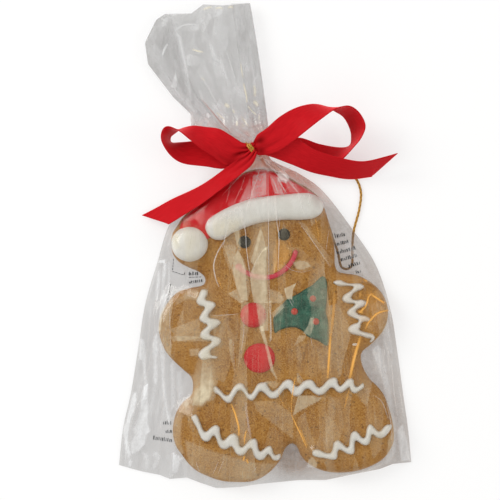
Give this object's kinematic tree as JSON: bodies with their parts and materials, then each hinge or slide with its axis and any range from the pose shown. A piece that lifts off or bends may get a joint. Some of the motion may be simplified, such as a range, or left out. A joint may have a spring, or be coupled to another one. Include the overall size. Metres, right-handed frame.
{
  "type": "bagged gingerbread man cookie",
  "caption": "Iced gingerbread man cookie with a Santa hat, lying in a clear bag that a red satin bow and a gold elastic tie at the neck.",
  "frame": {"origin": "bottom centre of the pack's box as it lies on its back, elastic loop left out", "axes": "+Y from the feet to the gathered top of the bag, +Z out of the iced side, +X to the right when looking at the iced side"},
  "size_m": [0.146, 0.242, 0.0254],
  "materials": {
    "film": "clear crinkled plastic film over brown iced gingerbread",
    "satin": "red satin ribbon",
    "elastic": "gold metallic braided elastic"
  },
  "bodies": {
    "root": {"bag": "film", "ribbon": "satin", "neck_tie": "elastic", "hanging_loop": "elastic"}
  },
  "joints": []
}
